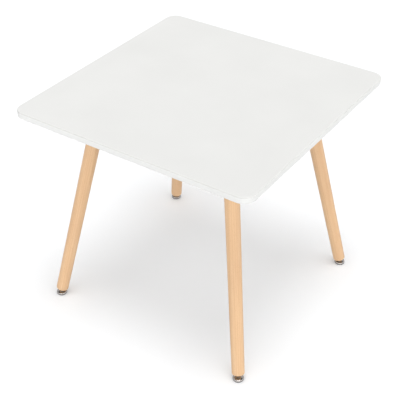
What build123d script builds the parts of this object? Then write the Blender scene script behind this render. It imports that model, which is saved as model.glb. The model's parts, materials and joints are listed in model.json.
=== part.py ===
from build123d import *
import math
import os

# Children's table: a square lacquered board on four splayed, tapered beech legs. Each leg hangs
# from an angled steel plate and stands on a screw-in glide whose domed base swivels on a ball.
# Frame: millimetres, +Z up, origin on the floor under the middle of the top; -Y is the front.

# Top board
TOP_SIDE = 600.0
TOP_THICKNESS = 15.0
TABLE_HEIGHT = 540.0
TOP_CORNER_RADIUS = 28.0
TOP_EDGE_RADIUS = 2.2

# Legs: half the spacing of the plates' middles, and how far each glide stands out from there,
# the same in X and in Y
PLATE_OFFSET_X = 169.0
PLATE_OFFSET_Y = 156.5
SPLAY = 93.0
LEG_TOP_RADIUS = 17.0
LEG_BOTTOM_RADIUS = 14.7
LEG_END_ROUNDING = 2.5
LEG_TOP_ROUNDING = 0.8
WOOD_END_HEIGHT = 15.0

# Angled mounting plate: BOSS_OVERRUN is how far the boss runs on past the board before it is trimmed
PLATE_SIDE = 68.0
PLATE_THICKNESS = 2.5
PLATE_CORNER_RADIUS = 8.0
PLATE_EDGE_RADIUS = 0.6
BOSS_RADIUS = 15.0
BOSS_DROP = 9.0
BOSS_OVERRUN = 12.0
BOSS_FOOT_RADIUS = 1.2

# Pan-head screws that hold a plate to the board
SCREW_OFFSET = 26.0
SCREW_RADIUS = 2.0
SCREW_HOLE_RADIUS = 2.3
SCREW_HEAD_RADIUS = 4.0
SCREW_HEAD_HEIGHT = 2.6
SCREW_HEAD_ROUNDING = 1.2
SCREW_BITE = 10.5
SCREW_TIP = 3.0
RECESS_WIDTH = 0.9
RECESS_SPAN = 4.2
RECESS_DEPTH = 1.3

# M8 hanger bolt between plate and leg
BOLT_RADIUS = 4.0
BOLT_LENGTH = 52.0
BOLT_TOP_GAP = 1.6
BOLT_CHAMFER = 0.8
BOLT_TIP = 6.0

# Threaded insert in the leg's foot end, driven with a hex key
INSERT_RADIUS = 6.0
INSERT_LENGTH = 20.0
INSERT_FLANGE_RADIUS = 8.0
INSERT_FLANGE_THICKNESS = 1.2
INSERT_KEY_WIDTH = 8.8
INSERT_KEY_DEPTH = 7.0
THREAD_CLEARANCE = 0.05

# Glide: heights along the leg are measured from the ball's centre
BALL_RADIUS = 4.5
BALL_HEIGHT = 6.0
BALL_TOP_CUT = 3.2
BALL_BOTTOM_CUT = 2.1
SEAT_CLEARANCE = 0.06
PIN_RADIUS = 2.0
PIN_CLEARANCE = 0.05
PIN_HEAD_RADIUS = 2.9
PIN_HEAD_THICKNESS = 1.1
NECK_RADIUS = 2.5
NECK_END = 6.0
STUD_RADIUS = 4.0
STUD_END = 34.0
STUD_CHAMFER = 0.8
STUD_STOP_GAP = 0.3
LEG_BORE_RADIUS = 4.5

# Glide base: a pressed steel cap on a nylon pad. The cap has an upright skirt, a rounded shoulder, a
# conical crown and a mouth whose lip holds the ball down. The shoulder's and the mouth's radius and
# height are those of the section's corners before they are rounded.
CAP_RADIUS = 13.0
CAP_WALL = 1.0
CAP_BOTTOM = 1.8
SHOULDER_HEIGHT = 5.4
SHOULDER_ROUNDING = 3.0
MOUTH_RADIUS = 5.0
MOUTH_HEIGHT = 8.6
MOUTH_ROUNDING = 0.3
LIP_RADIUS = 4.05
LIP_HEIGHT = 8.1
PAD_RADIUS = 12.5
PAD_CHAMFER = 0.5

# Where each corner's plate has its middle, turned so that the leg leans outwards
CORNERS = {
    "back_right": Pos(PLATE_OFFSET_X, PLATE_OFFSET_Y, 0),
    "back_left": Pos(-PLATE_OFFSET_X, PLATE_OFFSET_Y, 0) * Rot(0, 0, 90),
    "front_left": Pos(-PLATE_OFFSET_X, -PLATE_OFFSET_Y, 0) * Rot(0, 0, 180),
    "front_right": Pos(PLATE_OFFSET_X, -PLATE_OFFSET_Y, 0) * Rot(0, 0, 270),
}

UNDERSIDE = TABLE_HEIGHT - TOP_THICKNESS
SPLAY_RUN = math.sqrt(2) * SPLAY
AXIS_RISE = UNDERSIDE - BALL_HEIGHT
AXIS_LENGTH = math.hypot(SPLAY_RUN, AXIS_RISE)
SPLAY_COSINE = AXIS_RISE / AXIS_LENGTH
LEG_BOTTOM = (WOOD_END_HEIGHT - BALL_HEIGHT) / SPLAY_COSINE
LEG_TOP = AXIS_LENGTH - BOSS_DROP

# A corner's pieces are made with their plate's middle on the Z axis and the leg leaning out
# towards +X and +Y, then put in their place.
LEG_FRAME = Plane(
    origin=(SPLAY, SPLAY, BALL_HEIGHT),
    x_dir=(1, -1, 0),
    z_dir=(-SPLAY, -SPLAY, AXIS_RISE),
)


def turned(*outline):
    """Solid turned about Z from its outline's (radius, height) points."""
    points = [(radius, 0, height) for radius, height in outline]
    return revolve(make_face(Polyline(*points, close=True)), Axis.Z)


def rings(solid):
    """Whole circles on a solid, from the lowest up."""
    circles = solid.edges().filter_by(GeomType.CIRCLE)
    return circles.filter_by(lambda edge: edge.is_closed).sort_by(Axis.Z)


def insert_blank(bore):
    """Flanged sleeve, flush with the leg's foot end."""
    flange_top = LEG_BOTTOM + INSERT_FLANGE_THICKNESS
    top = LEG_BOTTOM + INSERT_LENGTH
    return turned(
        (bore, LEG_BOTTOM),
        (INSERT_FLANGE_RADIUS, LEG_BOTTOM),
        (INSERT_FLANGE_RADIUS, flange_top),
        (INSERT_RADIUS, flange_top),
        (INSERT_RADIUS, top),
        (bore, top),
    )


def threaded_insert():
    """The sleeve with its thread's bore and the socket for the key that drives it."""
    socket = Plane.XY.offset(LEG_BOTTOM) * RegularPolygon(INSERT_KEY_WIDTH / 2, 6, major_radius=False)
    return insert_blank(STUD_RADIUS + THREAD_CLEARANCE) - extrude(socket, INSERT_KEY_DEPTH)


def hanger_bolt():
    top = AXIS_LENGTH - BOLT_TOP_GAP
    return turned(
        (0, top - BOLT_LENGTH),
        (BOLT_RADIUS, top - BOLT_LENGTH + BOLT_TIP),
        (BOLT_RADIUS, top - BOLT_CHAMFER),
        (BOLT_RADIUS - BOLT_CHAMFER, top),
        (0, top),
    )


def glide_stud():
    """Threaded rod whose thin lower pin runs through the ball and ends in a peened head."""
    head_top = -BALL_BOTTOM_CUT - PIN_CLEARANCE
    shoulder = BALL_TOP_CUT + PIN_CLEARANCE
    step = STUD_RADIUS - NECK_RADIUS
    return turned(
        (0, head_top - PIN_HEAD_THICKNESS),
        (PIN_HEAD_RADIUS, head_top - PIN_HEAD_THICKNESS),
        (PIN_HEAD_RADIUS, head_top),
        (PIN_RADIUS, head_top),
        (PIN_RADIUS, shoulder),
        (NECK_RADIUS, shoulder),
        (NECK_RADIUS, NECK_END),
        (STUD_RADIUS, NECK_END + step / 2),
        (STUD_RADIUS, STUD_END - STUD_CHAMFER),
        (STUD_RADIUS - STUD_CHAMFER, STUD_END),
        (0, STUD_END),
    )


def glide_ball():
    """Nylon ball, cut flat above and below, that turns on the stud's pin."""
    bore = PIN_RADIUS + PIN_CLEARANCE
    beyond = 2 * BALL_RADIUS
    band = turned(
        (bore, -BALL_BOTTOM_CUT),
        (beyond, -BALL_BOTTOM_CUT),
        (beyond, BALL_TOP_CUT),
        (bore, BALL_TOP_CUT),
    )
    return Sphere(BALL_RADIUS) & band


def ball_socket():
    return Pos(0, 0, BALL_HEIGHT) * Sphere(BALL_RADIUS + SEAT_CLEARANCE)


def cap_skin():
    """Half section of the cap's outer face, from its lower edge over the crown to its mouth."""
    corners = (
        (CAP_RADIUS, 0, CAP_BOTTOM),
        (CAP_RADIUS, 0, SHOULDER_HEIGHT),
        (MOUTH_RADIUS, 0, MOUTH_HEIGHT),
        (LIP_RADIUS + MOUTH_HEIGHT - LIP_HEIGHT, 0, MOUTH_HEIGHT),
    )
    return FilletPolyline(*corners, radius=[SHOULDER_ROUNDING, MOUTH_ROUNDING])


def pad_blank():
    """Solid that fills the cap: a flange under its skirt, an upright wall and a cone under its crown."""
    inner_radius = CAP_RADIUS - CAP_WALL
    slope = (MOUTH_HEIGHT - SHOULDER_HEIGHT) / (CAP_RADIUS - MOUTH_RADIUS)
    shoulder = SHOULDER_HEIGHT + slope * CAP_WALL - CAP_WALL * math.hypot(1, slope)
    blank = turned(
        (0, 0),
        (PAD_RADIUS, 0),
        (PAD_RADIUS, CAP_BOTTOM),
        (inner_radius, CAP_BOTTOM),
        (inner_radius, shoulder),
        (0, shoulder + slope * inner_radius),
    )
    blank = fillet(rings(blank)[-1], SHOULDER_ROUNDING - CAP_WALL)
    return chamfer(rings(blank)[0], PAD_CHAMFER)


def glide_base():
    """Pressed cap over the pad, with its lip closed in over the ball."""
    skin = cap_skin()
    inside = Polyline(skin @ 1, (LIP_RADIUS, 0, LIP_HEIGHT), (LIP_RADIUS, 0, CAP_BOTTOM), skin @ 0)
    cap = revolve(make_face(skin + inside), Axis.Z)
    return cap - pad_blank() - ball_socket()


def glide_pad():
    """Nylon disc that fills the cap, stands on the floor and cups the ball."""
    return pad_blank() - ball_socket()


def leg():
    """Tapered leg, bored for its bolt above and for its insert and stud below."""
    wood = turned(
        (0, LEG_BOTTOM),
        (LEG_BOTTOM_RADIUS, LEG_BOTTOM),
        (LEG_TOP_RADIUS, LEG_TOP),
        (0, LEG_TOP),
    )
    wood = fillet(rings(wood)[0], LEG_END_ROUNDING)
    wood = fillet(rings(wood)[-1], LEG_TOP_ROUNDING)
    bore = turned(
        (0, LEG_BOTTOM),
        (LEG_BORE_RADIUS, LEG_BOTTOM),
        (LEG_BORE_RADIUS, STUD_END + STUD_STOP_GAP),
        (0, STUD_END + STUD_STOP_GAP),
    )
    return wood - hanger_bolt() - bore - insert_blank(0)


def screw_places():
    corners = GridLocations(2 * SCREW_OFFSET, 2 * SCREW_OFFSET, 2, 2)
    return [Pos(0, 0, UNDERSIDE - PLATE_THICKNESS) * place for place in corners]


def screw_blank():
    """Pan-head wood screw, head down, origin where the head meets the plate."""
    tip = PLATE_THICKNESS + SCREW_BITE
    shank = turned((0, 0), (SCREW_RADIUS, 0), (SCREW_RADIUS, tip - SCREW_TIP), (0, tip))
    head = Pos(0, 0, -SCREW_HEAD_HEIGHT / 2) * Cylinder(SCREW_HEAD_RADIUS, SCREW_HEAD_HEIGHT)
    head = fillet(rings(head)[0], SCREW_HEAD_ROUNDING)
    return shank + head


def screw():
    """The blank with its cross recess."""
    low = Pos(0, 0, -SCREW_HEAD_HEIGHT + RECESS_DEPTH / 2)
    recess = Box(RECESS_SPAN, RECESS_WIDTH, RECESS_DEPTH) + Box(RECESS_WIDTH, RECESS_SPAN, RECESS_DEPTH)
    return screw_blank() - low * recess


def plate_screws():
    return Compound([place * screw() for place in screw_places()])


def mount_plate():
    """Square plate with an angled boss square to the leg, tapped for the hanger bolt."""
    sheet = Box(PLATE_SIDE, PLATE_SIDE, PLATE_THICKNESS)
    sheet = fillet(sheet.edges().filter_by(Axis.Z), PLATE_CORNER_RADIUS)
    sheet = fillet(sheet.faces().sort_by(Axis.Z)[0].edges(), PLATE_EDGE_RADIUS)
    sheet = Pos(0, 0, UNDERSIDE - PLATE_THICKNESS / 2) * sheet
    column = LEG_FRAME.location * turned(
        (0, LEG_TOP),
        (BOSS_RADIUS, LEG_TOP),
        (BOSS_RADIUS, AXIS_LENGTH + BOSS_OVERRUN),
        (0, AXIS_LENGTH + BOSS_OVERRUN),
    )
    below = Pos(0, 0, UNDERSIDE - PLATE_THICKNESS) * Box(
        PLATE_SIDE, PLATE_SIDE, PLATE_SIDE, align=(Align.CENTER, Align.CENTER, Align.MAX)
    )
    plate = sheet + (column & below)
    boss_foot = plate.edges().filter_by(GeomType.ELLIPSE).sort_by(Axis.Z)[-1]
    plate = fillet(boss_foot, BOSS_FOOT_RADIUS)
    for place in screw_places():
        plate -= place * Cylinder(SCREW_HOLE_RADIUS, 4 * PLATE_THICKNESS)
    return plate - LEG_FRAME.location * hanger_bolt()


def table_top():
    """Board with rounded corners and edges, drilled from below for the sixteen screws."""
    board = Pos(0, 0, UNDERSIDE + TOP_THICKNESS / 2) * Box(TOP_SIDE, TOP_SIDE, TOP_THICKNESS)
    board = fillet(board.edges().filter_by(Axis.Z), TOP_CORNER_RADIUS)
    rims = board.faces().sort_by(Axis.Z)
    board = fillet(rims[0].edges() + rims[-1].edges(), TOP_EDGE_RADIUS)
    for corner in CORNERS.values():
        for place in screw_places():
            board -= corner * place * screw_blank()
    return board


def corner_nodes():
    """Every piece of a corner, by name, in the corner's own frame."""
    on_leg = LEG_FRAME.location
    on_floor = Pos(SPLAY, SPLAY, 0)
    return {
        "mount_plate": mount_plate(),
        "plate_screws": plate_screws(),
        "hanger_bolt": on_leg * hanger_bolt(),
        "leg": on_leg * leg(),
        "leg_insert": on_leg * threaded_insert(),
        "glide_stud": on_leg * glide_stud(),
        "glide_ball": on_leg * glide_ball(),
        "glide_base": on_floor * glide_base(),
        "glide_pad": on_floor * glide_pad(),
    }


def main():
    os.makedirs("parts", exist_ok=True)
    export_step(table_top(), "parts/table_top.step")
    for name, shape in corner_nodes().items():
        for corner, place in CORNERS.items():
            export_step(place * shape, f"parts/{name}_{corner}.step")


main()
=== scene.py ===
import json
import math

import bmesh
import bpy
from mathutils import Matrix, Vector


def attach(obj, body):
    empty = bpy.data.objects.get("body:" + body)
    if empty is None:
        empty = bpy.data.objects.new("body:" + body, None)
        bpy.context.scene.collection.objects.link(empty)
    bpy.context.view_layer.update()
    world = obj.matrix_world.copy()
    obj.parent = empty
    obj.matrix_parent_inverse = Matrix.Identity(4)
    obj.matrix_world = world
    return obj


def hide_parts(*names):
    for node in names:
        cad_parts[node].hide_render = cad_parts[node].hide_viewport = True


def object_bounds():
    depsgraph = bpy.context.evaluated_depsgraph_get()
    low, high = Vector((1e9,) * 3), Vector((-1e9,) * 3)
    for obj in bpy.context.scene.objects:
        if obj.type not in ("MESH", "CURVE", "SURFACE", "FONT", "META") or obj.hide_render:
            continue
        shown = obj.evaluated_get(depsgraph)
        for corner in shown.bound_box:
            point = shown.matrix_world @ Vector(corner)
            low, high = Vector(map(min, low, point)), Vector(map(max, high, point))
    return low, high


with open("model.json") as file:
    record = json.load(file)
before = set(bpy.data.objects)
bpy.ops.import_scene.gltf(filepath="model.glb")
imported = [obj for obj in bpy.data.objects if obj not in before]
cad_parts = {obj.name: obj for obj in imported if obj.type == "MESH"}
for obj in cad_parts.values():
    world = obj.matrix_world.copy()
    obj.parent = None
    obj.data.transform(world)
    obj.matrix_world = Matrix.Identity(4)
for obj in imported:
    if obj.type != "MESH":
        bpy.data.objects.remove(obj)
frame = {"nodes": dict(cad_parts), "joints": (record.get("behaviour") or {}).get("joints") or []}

cad_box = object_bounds()

# Lengths are in metres and angles in degrees. An azimuth is measured from the front of the table (-Y)
# and turns towards +X.

# Camera: it stands in front and to the right of the table and looks down on it
CAMERA_AZIMUTH = 34.015
CAMERA_ELEVATION = 35.781
CAMERA_ROLL = 0.084
CAMERA_DISTANCE = 2.3631
CAMERA_RIGHT = -0.0092
CAMERA_UP = 0.1973
CAMERA_LENS = 82.635
SENSOR_WIDTH = 36.0

# Light: a softbox overhead, in a room whose walls glow up to WALL_TOP, most of all in front.
# WALL_TOP and WALL_FADE are sines of elevations.
KEY_AZIMUTH = 45.0
KEY_ELEVATION = 87.0
KEY_STRENGTH = 1.276
KEY_SPREAD = 33.0
WALL_BACK = 0.71
WALL_FRONT = 2.12
WALL_FRONT_AZIMUTH = 45.0
WALL_FOCUS = 1.5
WALL_TOP = 0.55
WALL_FADE = 0.85
CEILING = 0.1
BACKDROP = 1.0

# Stage: the floor looks whiter than the light that it throws back
FLOOR_SIZE = 60.0
FLOOR_DROP = 0.0002
FLOOR_TONE = 0.99
FLOOR_TINT = (0.988, 0.998, 1.01)
FLOOR_BOUNCE = 0.68

# Tones of the painted, wooden and moulded pieces: sRGB from 0 to 255
LACQUER_TONES = ((226, 226, 224), (229, 229, 227))
# Painted shade: the darker grey painted on the top's rounded upper edge to tone down its highlight
LACQUER_PAINTED_EDGE_SHADE = (213, 213, 210)
BEECH_TONES = ((220, 180, 140), (227, 189, 147))
BEECH_STREAK_TONE = (232, 198, 160)
BEECH_RING_TONE = (201, 157, 116)
BEECH_FIBRE_TONE = (191, 145, 104)
BEECH_FLECK_TONE = (164, 114, 75)
BALL_TONES = ((56, 48, 43), (70, 60, 54))
PAD_TONES = ((44, 43, 44), (58, 57, 58))

# Tones of the plated pieces: linear colours
PLATE_ZINC = (0.62, 0.63, 0.65, 1.0)
SCREW_ZINC = (0.70, 0.70, 0.69, 1.0)
BOLT_ZINC = (0.66, 0.66, 0.66, 1.0)
INSERT_ZINC = (0.68, 0.66, 0.62, 1.0)
STUD_ZINC = (0.66, 0.66, 0.66, 1.0)
CAP_NICKEL = (0.5, 0.47, 0.45, 1.0)

# Glide studs: heights along the stud from the ball's centre, which agree with the CAD studs
STUD_RADIUS = 0.004
STUD_END = 0.034
STUD_CHAMFER = 0.0008
NECK_RADIUS = 0.0025
NECK_END = 0.006
NECK_TAPER = 0.00075
PIN_RADIUS = 0.002
PIN_TOP = 0.00325
PIN_BOTTOM = -0.00215
HEAD_RADIUS = 0.0029
HEAD_BOTTOM = -0.00325
HEAD_ROUNDING = 0.0004
THREAD_PITCH = 0.00125
THREAD_DEPTH = 0.00068
THREAD_CREST = THREAD_PITCH / 8
THREAD_FLANK_ANGLE = 30.0
THREAD_SEGMENTS = 48
WELD_DISTANCE = THREAD_DEPTH / 100

# Sockets of the Mix node that share a name: two numbers and their result, two colours and theirs
MIX_NUMBERS = (2, 3)
MIX_NUMBER_RESULT = 0
MIX_COLOURS = (6, 7)
MIX_COLOUR_RESULT = 2

CORNERS = ("front_left", "front_right", "back_right", "back_left")
JOINTS = {joint["name"]: joint for joint in frame["joints"]}


# ---------------------------------------------------------------- directions and frames

def direction_to(azimuth, elevation=0.0):
    """Unit vector from the table towards something at this azimuth and elevation."""
    turn = math.radians(azimuth)
    rise = math.radians(elevation)
    return Vector((math.sin(turn) * math.cos(rise), -math.cos(turn) * math.cos(rise), math.sin(rise)))


def leg_matrix(corner):
    """Frame on a leg's axis: origin at the glide's ball, +Z up the leg, +X along the tilt axis."""
    stud = JOINTS[f"stud_turn_{corner}"]
    up = -Vector(stud["axis"])
    side = Vector(JOINTS[f"foot_tilt_{corner}"]["axis"])
    across = up.cross(side)
    rotation = Matrix((side, across, up)).transposed()
    return Matrix.Translation(stud["pos_m"]) @ rotation.to_4x4()


# ---------------------------------------------------------------- material helpers

def shade(tone):
    """Linear colour of an sRGB tone."""
    def linear(channel):
        share = channel / 255
        return share / 12.92 if share <= 0.04045 else ((share + 0.055) / 1.055) ** 2.4
    return tuple(linear(channel) for channel in tone) + (1.0,)


class Graph:
    """A node tree under construction, with short ways to add to it."""

    def __init__(self, tree):
        self.tree = tree

    def add(self, kind, inputs=(), **attributes):
        """A new node whose inputs are set to values or linked to other nodes' outputs."""
        node = self.tree.nodes.new(kind)
        for name, value in attributes.items():
            setattr(node, name, value)
        for socket, value in dict(inputs).items():
            if isinstance(value, bpy.types.NodeSocket):
                self.tree.links.new(value, node.inputs[socket])
            else:
                node.inputs[socket].default_value = value
        return node

    def noise(self, place, scale, detail=3.0, roughness=0.5):
        settings = {"Vector": place, "Scale": scale, "Detail": detail, "Roughness": roughness}
        return self.add("ShaderNodeTexNoise", settings).outputs["Fac"]

    def ranged(self, value, low, high, to_low=0.0, to_high=1.0, curve="LINEAR"):
        """The value's place between low and high, carried over to between to_low and to_high."""
        settings = {"Value": value, "From Min": low, "From Max": high}
        settings.update({"To Min": to_low, "To Max": to_high})
        return self.add("ShaderNodeMapRange", settings, interpolation_type=curve).outputs["Result"]

    def math(self, operation, first, second):
        return self.add("ShaderNodeMath", {0: first, 1: second}, operation=operation).outputs["Value"]

    def vector_math(self, operation, *vectors, result="Vector"):
        inputs = dict(enumerate(vectors))
        return self.add("ShaderNodeVectorMath", inputs, operation=operation).outputs[result]

    def mix(self, factor, first, second):
        """Colour between two colours."""
        settings = {"Factor": factor, MIX_COLOURS[0]: first, MIX_COLOURS[1]: second}
        return self.add("ShaderNodeMix", settings, data_type="RGBA").outputs[MIX_COLOUR_RESULT]

    def mix_numbers(self, factor, first, second):
        settings = {"Factor": factor, MIX_NUMBERS[0]: first, MIX_NUMBERS[1]: second}
        return self.add("ShaderNodeMix", settings).outputs[MIX_NUMBER_RESULT]

    def bump(self, height, distance, strength, under=None):
        """Normal bent by a height field, on top of an earlier bump where there is one."""
        settings = {"Height": height, "Distance": distance, "Strength": strength}
        if under:
            settings["Normal"] = under
        return self.add("ShaderNodeBump", settings).outputs["Normal"]

    def for_camera(self):
        """1 where the camera sees the surface itself, 0 where its light reaches something else."""
        return self.add("ShaderNodeLightPath").outputs["Is Camera Ray"]


class Recipe(Graph):
    """A material under construction: its shader, and coordinates in the table's own frame."""

    def __init__(self, name, **settings):
        self.material = bpy.data.materials.new(name)
        self.material.use_nodes = True
        super().__init__(self.material.node_tree)
        self.shader = self.tree.nodes["Principled BSDF"]
        for socket, value in settings.items():
            self.shader.inputs[socket.replace("_", " ")].default_value = value
        self.place = self.add("ShaderNodeTexCoord").outputs["Object"]

    def drive(self, socket, value):
        """Link a value to one of the shader's inputs."""
        self.tree.links.new(value, self.shader.inputs[socket])

    def stretched(self, scale, place=None, **more):
        """Coordinates scaled by a different factor along each axis."""
        settings = {"Vector": place or self.place, "Scale": scale}
        settings.update(more)
        return self.add("ShaderNodeMapping", settings).outputs["Vector"]


# ---------------------------------------------------------------- materials

def lacquer():
    """White matt lacquer: faint orange peel, slow sheen drift, painted shade greying the rounded
    upper edge, duller on the underside."""
    recipe = Recipe("white_lacquer", Specular_IOR_Level=0.25)
    cloud = recipe.noise(recipe.place, scale=7.0, detail=2.0)
    tone = recipe.mix(recipe.ranged(cloud, 0.3, 0.7), *map(shade, LACQUER_TONES))
    normal = recipe.add("ShaderNodeNewGeometry").outputs["Normal"]
    facing_up = recipe.add("ShaderNodeSeparateXYZ", {"Vector": normal}).outputs["Z"]
    # Painted shade: the rounded upper edge, between level and upright faces, is painted greyer to tone down
    # its highlight
    off_level = recipe.ranged(facing_up, 1.0, 0.85)
    off_upright = recipe.ranged(facing_up, 0.0, 0.3)
    painted_edge_shade = recipe.math("MULTIPLY", off_level, off_upright)
    recipe.drive("Base Color", recipe.mix(painted_edge_shade, tone, shade(LACQUER_PAINTED_EDGE_SHADE)))

    smear = recipe.noise(recipe.stretched((1.0, 2.4, 1.0)), scale=16.0, detail=5.0, roughness=0.6)
    sheen = recipe.ranged(smear, 0.3, 0.7, to_low=0.6, to_high=0.72)
    below = recipe.ranged(facing_up, -0.5, -0.9, to_low=0.0, to_high=0.22)
    recipe.drive("Roughness", recipe.math("ADD", sheen, below))

    peel = recipe.noise(recipe.place, scale=420.0, detail=3.0, roughness=0.55)
    dust = recipe.noise(recipe.place, scale=2600.0, detail=2.0)
    peel_bump = recipe.bump(peel, distance=0.00005, strength=0.35)
    recipe.drive("Normal", recipe.bump(dust, distance=0.00001, strength=0.25, under=peel_bump))
    return recipe.material


def leg_grain(recipe, corner, seed):
    """Coordinates along one leg, measured from a pith that lies outside the leg."""
    matrix = leg_matrix(corner)
    local = recipe.add(
        "ShaderNodeMapping",
        {"Vector": recipe.place, "Location": matrix.translation, "Rotation": matrix.to_euler()},
        vector_type="TEXTURE",
    ).outputs["Vector"]
    pith = (0.047 + 0.006 * seed, 0.031 - 0.011 * seed, 0.35 * seed)
    return recipe.stretched((1.0, 1.0, 1.0), local, Location=pith)


def growth_rings(recipe, grain):
    drawn_out = recipe.stretched((1.0, 1.0, 0.045), grain)
    return recipe.add(
        "ShaderNodeTexWave",
        {"Vector": drawn_out, "Scale": 78.0, "Distortion": 5.0, "Detail": 2.0, "Detail Scale": 0.35},
        wave_type="RINGS",
        rings_direction="Z",
        wave_profile="SAW",
    ).outputs["Fac"]


def beech(corner, seed):
    """Clear-lacquered beech with its own grain: growth rings, fibres, ray flecks and slow colour drift."""
    recipe = Recipe(f"beech_{corner}", Specular_IOR_Level=0.35, Coat_Weight=0.1, Coat_Roughness=0.35)
    grain = leg_grain(recipe, corner, seed)
    rings = growth_rings(recipe, grain)
    fibres = recipe.noise(recipe.stretched((1.0, 1.0, 0.02), grain), scale=1500.0, roughness=0.6)
    streaks = recipe.noise(recipe.stretched((1.0, 1.0, 0.06), grain), scale=150.0, roughness=0.55)
    drift = recipe.noise(recipe.stretched((1.0, 1.0, 0.4), grain), scale=16.0, detail=2.0)
    fleck_place = recipe.stretched((1.0, 1.0, 0.16), grain)
    fleck_field = recipe.noise(fleck_place, scale=1900.0, detail=1.0, roughness=0.4)
    flecks = recipe.ranged(fleck_field, 0.66, 0.74)

    tone = recipe.mix(recipe.ranged(drift, 0.3, 0.7), *map(shade, BEECH_TONES))
    layers = (
        (recipe.ranged(streaks, 0.45, 0.75, to_high=0.5), BEECH_STREAK_TONE),
        (recipe.ranged(rings, 0.55, 1.0, to_high=0.35), BEECH_RING_TONE),
        (recipe.ranged(fibres, 0.5, 0.8, to_high=0.25), BEECH_FIBRE_TONE),
        (recipe.math("MULTIPLY", flecks, 0.45), BEECH_FLECK_TONE),
    )
    for share, layer_tone in layers:
        tone = recipe.mix(share, tone, shade(layer_tone))
    recipe.drive("Base Color", tone)
    recipe.drive("Roughness", recipe.ranged(streaks, 0.3, 0.7, to_low=0.4, to_high=0.52))
    fibre_bump = recipe.bump(fibres, distance=0.00006, strength=0.4)
    recipe.drive("Normal", recipe.bump(flecks, distance=0.00004, strength=0.3, under=fibre_bump))
    return recipe.material


def plated(name, colour, roughness, brush=(1.0, 1.0, 1.0), drift=0.08, grit=1400.0):
    """Plated steel: fine working marks along one direction, sheen drift and a few dull spots."""
    recipe = Recipe(name, Metallic=1.0)
    marks = recipe.noise(recipe.stretched(brush), grit, detail=4.0, roughness=0.6)
    cloud = recipe.noise(recipe.place, scale=90.0)
    spots = recipe.ranged(recipe.noise(recipe.place, scale=420.0, detail=2.0), 0.62, 0.72)
    dull = tuple(0.8 * channel for channel in colour[:3]) + (1.0,)
    recipe.drive("Base Color", recipe.mix(recipe.ranged(cloud, 0.35, 0.7, to_high=0.6), colour, dull))
    base = recipe.ranged(marks, 0.3, 0.7, to_low=roughness - drift / 2, to_high=roughness + drift)
    recipe.drive("Roughness", recipe.math("ADD", base, recipe.math("MULTIPLY", spots, drift)))
    recipe.drive("Normal", recipe.bump(marks, distance=0.00002, strength=0.35))
    return recipe.material


def nylon(name, tones, roughness):
    """Moulded nylon: fine mould texture, slight mottling and scuffs."""
    recipe = Recipe(name, Specular_IOR_Level=0.45)
    cloud = recipe.noise(recipe.place, scale=160.0)
    scuffs = recipe.ranged(recipe.noise(recipe.stretched((1.0, 5.0, 1.0)), scale=500.0), 0.58, 0.75)
    recipe.drive("Base Color", recipe.mix(recipe.ranged(cloud, 0.3, 0.7), *map(shade, tones)))
    recipe.drive("Roughness", recipe.ranged(scuffs, 0.0, 1.0, to_low=roughness, to_high=roughness + 0.18))
    mould = recipe.noise(recipe.place, scale=3200.0, detail=2.0)
    recipe.drive("Normal", recipe.bump(mould, distance=0.00003, strength=0.4))
    return recipe.material


def paint(node, material):
    """Put one material on all of a CAD node."""
    for slot in frame["nodes"][node].material_slots:
        slot.material = material


def finish_nodes():
    """Give every CAD node its finished material."""
    paint("table_top", lacquer())
    materials = {
        "mount_plate": plated("zinc_plate", PLATE_ZINC, roughness=0.34, brush=(1.0, 0.08, 1.0), drift=0.12),
        "plate_screws": plated("zinc_screw", SCREW_ZINC, roughness=0.26),
        "hanger_bolt": plated("zinc_bolt", BOLT_ZINC, roughness=0.3),
        "leg_insert": plated("zinc_insert", INSERT_ZINC, roughness=0.3),
        "glide_base": plated("nickel_cap", CAP_NICKEL, 0.08, brush=(1.0, 1.0, 6.0), drift=0.05, grit=900.0),
        "glide_ball": nylon("dark_nylon", BALL_TONES, roughness=0.42),
        "glide_pad": nylon("grey_nylon", PAD_TONES, roughness=0.5),
    }
    for seed, corner in enumerate(CORNERS):
        paint(f"leg_{corner}", beech(corner, seed))
        for kind, material in materials.items():
            paint(f"{kind}_{corner}", material)


# ---------------------------------------------------------------- glide studs

def thread_stations():
    """(height within a pitch, radius) along one turn's section: a flat crest, a flank and a flat root."""
    flank = THREAD_DEPTH * math.tan(math.radians(THREAD_FLANK_ANGLE))
    root = STUD_RADIUS - THREAD_DEPTH
    crest = THREAD_CREST / 2
    return (
        (-crest, STUD_RADIUS),
        (crest, STUD_RADIUS),
        (crest + flank, root),
        (THREAD_PITCH - crest - flank, root),
    )


def stud_envelope(height):
    """Radius that the thread stays within: it tapers to the neck below and to the chamfer above."""
    below = NECK_RADIUS + (height - NECK_END) * (STUD_RADIUS - NECK_RADIUS) / NECK_TAPER
    above = STUD_RADIUS - STUD_CHAMFER + (STUD_END - height)
    return min(STUD_RADIUS, below, above)


def on_stud(radius, turn, height):
    angle = 2 * math.pi * turn
    return Vector((radius * math.cos(angle), radius * math.sin(angle), height))


def thread_rows(form):
    """Rows of vertices that climb one pitch a turn, cut off where the thread starts and ends."""
    turns = math.ceil((STUD_END - NECK_END) / THREAD_PITCH) + 2
    rows = []
    for turn in range(-1, turns):
        for offset, radius in thread_stations():
            row = []
            for step in range(THREAD_SEGMENTS):
                share = step / THREAD_SEGMENTS
                height = NECK_END + offset + THREAD_PITCH * (turn + share)
                height = min(max(height, NECK_END), STUD_END)
                row.append(form.verts.new(on_stud(min(radius, stud_envelope(height)), share, height)))
            rows.append(row)
    return rows


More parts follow.
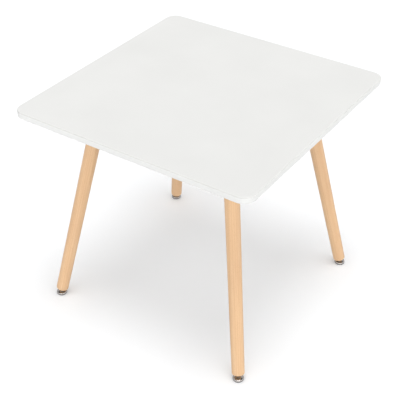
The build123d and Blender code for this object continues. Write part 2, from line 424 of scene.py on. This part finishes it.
def smooth_rings(form):
    """Rings of vertices up the peened head, the pin and the foot of the neck."""
    outline = (
        (HEAD_RADIUS - HEAD_ROUNDING, HEAD_BOTTOM),
        (HEAD_RADIUS, HEAD_BOTTOM + HEAD_ROUNDING),
        (HEAD_RADIUS, PIN_BOTTOM),
        (PIN_RADIUS, PIN_BOTTOM),
        (PIN_RADIUS, PIN_TOP),
        (NECK_RADIUS, PIN_TOP),
    )
    shares = [step / THREAD_SEGMENTS for step in range(THREAD_SEGMENTS)]
    rings = []
    for radius, height in outline:
        rings.append([form.verts.new(on_stud(radius, share, height)) for share in shares])
    return rings


def bridge(form, lower, upper, lower_next=None, upper_next=None):
    """Faces between two rows; the last face of a helical row meets the rows one turn further on."""
    ends = ((lower_next or lower)[0], (upper_next or upper)[0])
    for step in range(len(lower)):
        last = step + 1 == len(lower)
        low, high = ends if last else (lower[step + 1], upper[step + 1])
        form.faces.new((lower[step], low, high, upper[step]))


def stud_mesh():
    """Right-handed screw thread over a smooth neck, a pin and the pin's peened head."""
    form = bmesh.new()
    rows = thread_rows(form)
    per_turn = len(thread_stations())
    for index in range(len(rows) - per_turn - 1):
        after = index + per_turn
        bridge(form, rows[index], rows[index + 1], rows[after], rows[after + 1])
    rings = smooth_rings(form)
    for lower, upper in zip(rings, rings[1:] + rows[:1]):
        bridge(form, lower, upper)
    form.faces.new(list(reversed(rings[0])))
    form.faces.new(rows[-1])
    bmesh.ops.remove_doubles(form, verts=form.verts, dist=WELD_DISTANCE)
    bmesh.ops.dissolve_degenerate(form, edges=form.edges, dist=WELD_DISTANCE)
    bmesh.ops.recalc_face_normals(form, faces=form.faces)
    mesh = bpy.data.meshes.new("stud")
    form.to_mesh(mesh)
    form.free()
    return mesh


def add_studs():
    """Studs with a real thread, in place of the CAD's plain ones."""
    mesh = stud_mesh()
    mesh.materials.append(plated("zinc_stud", STUD_ZINC, roughness=0.26))
    for corner in CORNERS:
        stud = bpy.data.objects.new(f"threaded_stud_{corner}", mesh)
        stud.matrix_world = leg_matrix(corner)
        bpy.context.scene.collection.objects.link(stud)
        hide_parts(f"glide_stud_{corner}")
        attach(stud, f"stud_{corner}")


# ---------------------------------------------------------------- stage

def camera_axes():
    """The camera's right, up and back, after its roll."""
    roll = math.radians(CAMERA_ROLL)
    back = direction_to(CAMERA_AZIMUTH, CAMERA_ELEVATION)
    level = Vector((0, 0, 1)).cross(back).normalized()
    upright = back.cross(level)
    right = math.cos(roll) * level + math.sin(roll) * upright
    up = math.cos(roll) * upright - math.sin(roll) * level
    return right, up, back


def add_camera():
    right, up, back = camera_axes()
    data = bpy.data.cameras.new("camera")
    data.lens = CAMERA_LENS
    data.sensor_width = SENSOR_WIDTH
    camera = bpy.data.objects.new("camera", data)
    rotation = Matrix((right, up, back)).transposed().to_4x4()
    place = back * CAMERA_DISTANCE + right * CAMERA_RIGHT + up * CAMERA_UP
    camera.matrix_world = Matrix.Translation(place) @ rotation
    bpy.context.scene.collection.objects.link(camera)
    bpy.context.scene.camera = camera


def floor_tone(brightness):
    return tuple(brightness * tint for tint in FLOOR_TINT) + (1.0,)


def floor_material():
    recipe = Recipe("studio_floor", Roughness=0.9, Specular_IOR_Level=0.0)
    tone = recipe.mix(recipe.for_camera(), floor_tone(FLOOR_BOUNCE), floor_tone(FLOOR_TONE))
    recipe.drive("Base Color", tone)
    return recipe.material


def add_floor():
    """A floor just under the pads, so that the two don't share a plane."""
    mesh = bpy.data.meshes.new("floor")
    form = bmesh.new()
    bmesh.ops.create_grid(form, x_segments=1, y_segments=1, size=FLOOR_SIZE / 2)
    form.to_mesh(mesh)
    form.free()
    mesh.materials.append(floor_material())
    floor = bpy.data.objects.new("floor", mesh)
    floor.location.z = cad_box[0].z - FLOOR_DROP
    bpy.context.scene.collection.objects.link(floor)


def add_key_light():
    data = bpy.data.lights.new("overhead", "SUN")
    data.energy = KEY_STRENGTH
    data.angle = math.radians(KEY_SPREAD)
    light = bpy.data.objects.new("overhead", data)
    light.rotation_euler = direction_to(KEY_AZIMUTH, KEY_ELEVATION).to_track_quat("Z", "Y").to_euler()
    bpy.context.scene.collection.objects.link(light)


def wall_glow(graph):
    """Strength of the room's light by direction: strongest in front, and fading up to the ceiling."""
    direction = graph.add("ShaderNodeTexCoord").outputs["Generated"]
    height = graph.add("ShaderNodeSeparateXYZ", {"Vector": direction}).outputs["Z"]
    level = graph.vector_math("MULTIPLY", direction, (1, 1, 0))
    level = graph.vector_math("NORMALIZE", level)
    facing = graph.vector_math("DOT_PRODUCT", level, direction_to(WALL_FRONT_AZIMUTH), result="Value")
    facing = graph.math("POWER", graph.ranged(facing, -1.0, 1.0), WALL_FOCUS)
    wall = graph.ranged(facing, 0.0, 1.0, WALL_BACK, WALL_FRONT)
    fade = graph.ranged(height, WALL_TOP, WALL_FADE, 1.0, CEILING, curve="SMOOTHSTEP")
    return graph.math("MULTIPLY", wall, fade)


def add_world():
    """A room whose walls light the table from the sides, in front of a white backdrop."""
    world = bpy.data.worlds.new("studio")
    world.use_nodes = True
    graph = Graph(world.node_tree)
    strength = graph.mix_numbers(graph.for_camera(), wall_glow(graph), BACKDROP)
    background = graph.tree.nodes["Background"]
    background.inputs["Color"].default_value = (1.0, 1.0, 1.0, 1.0)
    graph.tree.links.new(strength, background.inputs["Strength"])
    bpy.context.scene.world = world


def add_stage():
    add_floor()
    add_camera()
    add_world()
    add_key_light()
    bpy.context.scene.view_settings.view_transform = "Standard"


finish_nodes()
add_studs()
add_stage()
